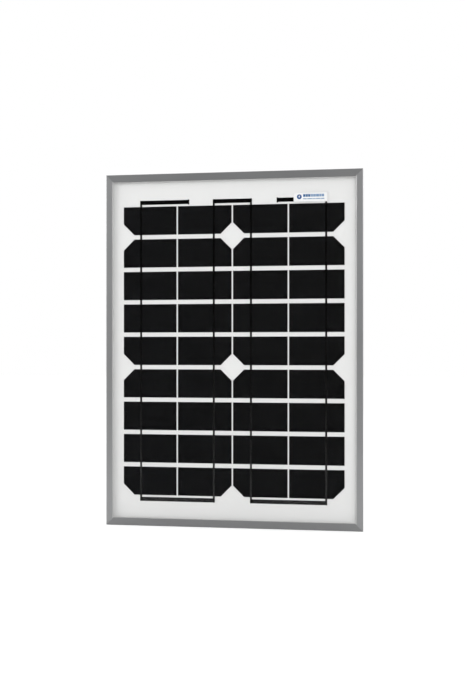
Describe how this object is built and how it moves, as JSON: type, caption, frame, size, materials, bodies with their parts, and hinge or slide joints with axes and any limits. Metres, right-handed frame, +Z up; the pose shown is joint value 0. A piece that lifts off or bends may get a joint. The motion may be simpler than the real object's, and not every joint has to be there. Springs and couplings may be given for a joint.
{
  "type": "solar panel",
  "caption": "Upright framed solar panel: dark cut cells in columns on a white sheet under glass, mitred aluminium frame, and a hinged-lid junction box with cable glands behind.",
  "frame": {"origin": "middle of the bottom edge, at half the frame's depth", "axes": "+X to the right of a person facing the glass, +Y from the glass to the back, +Z up"},
  "size_m": [0.35, 0.025, 0.48],
  "materials": {
    "frame": "clear anodised, satin",
    "key": "mill finish",
    "glass": "clear low-iron tempered glass, gloss",
    "encapsulant": "clear film",
    "backsheet": "white film, satin",
    "cell": "black anti-reflection coated silicon, opaque",
    "ribbon": "black-coated copper ribbon",
    "silicone": "grey silicone, satin",
    "label": "printed white film",
    "box_plastic": "moulded black plastic, fine texture",
    "rubber": "matt black",
    "diode": "moulded epoxy",
    "terminal_brass": "tumbled brass",
    "fastener_steel": "zinc plated"
  },
  "bodies": {
    "panel": {"backsheet": "backsheet", "box_adhesive": "silicone", "bus_bottom_left": "ribbon", "bus_bottom_right": "ribbon", "bus_top_middle": "ribbon", "bypass_diode": "diode", "cell_string_1": "cell", "cell_string_2": "cell", "cell_string_3": "cell", "cell_string_4": "cell", "corner_key_bottom_left": "key", "corner_key_bottom_right": "key", "corner_key_top_left": "key", "corner_key_top_right": "key", "edge_seal": "silicone", "end_rail_bottom": "frame", "end_rail_top": "frame", "front_encapsulant": "encapsulant", "front_glass": "glass", "front_label": "label", "gland_body_left": "box_plastic", "gland_body_right": "box_plastic", "gland_locknut_left": "box_plastic", "gland_locknut_right": "box_plastic", "gland_washer_left": "rubber", "gland_washer_right": "rubber", "hinge_pin": "fastener_steel", "junction_box_base": "box_plastic", "lead_out_negative": "ribbon", "lead_out_positive": "ribbon", "lid_gasket": "rubber", "rating_label": "label", "rear_encapsulant": "encapsulant", "side_rail_left": "frame", "side_rail_right": "frame", "terminal_negative": "terminal_brass", "terminal_positive": "terminal_brass", "terminal_screw_negative": "fastener_steel", "terminal_screw_positive": "fastener_steel"},
    "box_lid": {"junction_box_lid": "box_plastic"},
    "lid_screw_left": {"lid_screw_left": "fastener_steel"},
    "lid_screw_right": {"lid_screw_right": "fastener_steel"},
    "gland_seal_left": {"gland_seal_left": "rubber"},
    "gland_seal_right": {"gland_seal_right": "rubber"},
    "gland_nut_left": {"gland_nut_left": "box_plastic"},
    "gland_nut_right": {"gland_nut_right": "box_plastic"}
  },
  "joints": [
    {"name": "lid_hinge", "type": "hinge", "parent": "panel", "child": "box_lid", "pos_m": [0, 0.0092, 0.4534], "axis": [1, 0, 0], "range_deg": [0, 110]},
    {"name": "lid_screw_turn_left", "type": "hinge", "parent": "box_lid", "child": "lid_screw_left", "pos_m": [-0.058, 0.0106, 0.397], "axis": [0, 1, 0], "range_deg": [0, 90]},
    {"name": "lid_screw_turn_right", "type": "hinge", "parent": "box_lid", "child": "lid_screw_right", "pos_m": [0.058, 0.0106, 0.397], "axis": [0, 1, 0], "range_deg": [0, 90]},
    {"name": "gland_seal_travel_left", "type": "slide", "parent": "panel", "child": "gland_seal_left", "axis": [0, 0, -1], "range_m": [0, 0.003]},
    {"name": "gland_nut_turn_left", "type": "hinge", "parent": "gland_seal_left", "child": "gland_nut_left", "pos_m": [-0.034, 0.0027, 0.3757], "axis": [0, 0, -1], "range_deg": [0, 720.5]},
    {"name": "gland_seal_travel_right", "type": "slide", "parent": "panel", "child": "gland_seal_right", "axis": [0, 0, -1], "range_m": [0, 0.003]},
    {"name": "gland_nut_turn_right", "type": "hinge", "parent": "gland_seal_right", "child": "gland_nut_right", "pos_m": [0.034, 0.0027, 0.3757], "axis": [0, 0, -1], "range_deg": [0, 720.5]}
  ],
  "couplings": [
    {"joint": "gland_nut_turn_left", "follows": "gland_seal_travel_left", "rad_per_m": 4188.8},
    {"joint": "gland_nut_turn_right", "follows": "gland_seal_travel_right", "rad_per_m": 4188.8}
  ]
}
